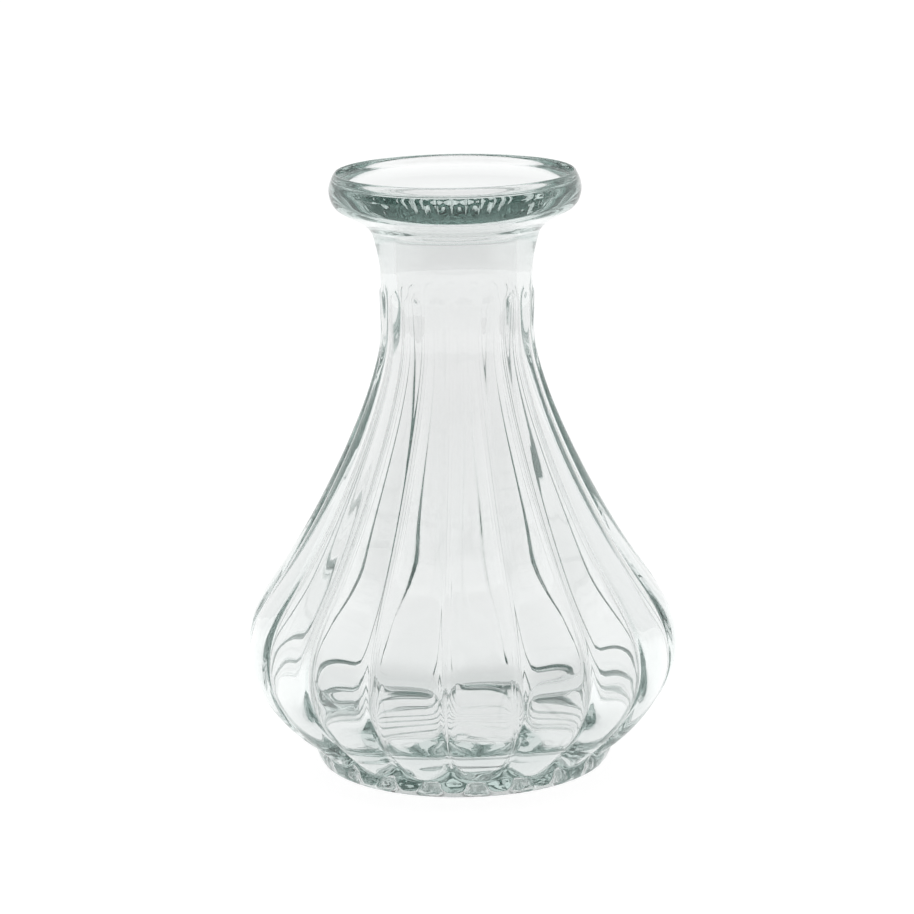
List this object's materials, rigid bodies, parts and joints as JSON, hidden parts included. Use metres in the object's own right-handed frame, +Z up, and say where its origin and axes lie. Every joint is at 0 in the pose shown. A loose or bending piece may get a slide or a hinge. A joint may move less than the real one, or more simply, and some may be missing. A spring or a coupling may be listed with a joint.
{
  "type": "bud vase",
  "caption": "Clear moulded-glass bud vase with a round foot, a fluted onion-shaped bowl, a long tapering shoulder, a narrow neck and a thick flared collar.",
  "frame": {"origin": "centre of the plane that the vase stands on", "axes": "+Z up along the axis of the vase, with the crest of a flute on +X and a valley between two flutes on +Y and -Y"},
  "size_m": [0.0876, 0.0866, 0.12],
  "materials": {
    "clear_glass": "clear soda-lime glass with a faint grey-green tint, fire-polished"
  },
  "bodies": {
    "root": {"foot": "clear_glass", "bowl": "clear_glass", "shoulder": "clear_glass", "neck": "clear_glass", "collar": "clear_glass"}
  },
  "joints": []
}
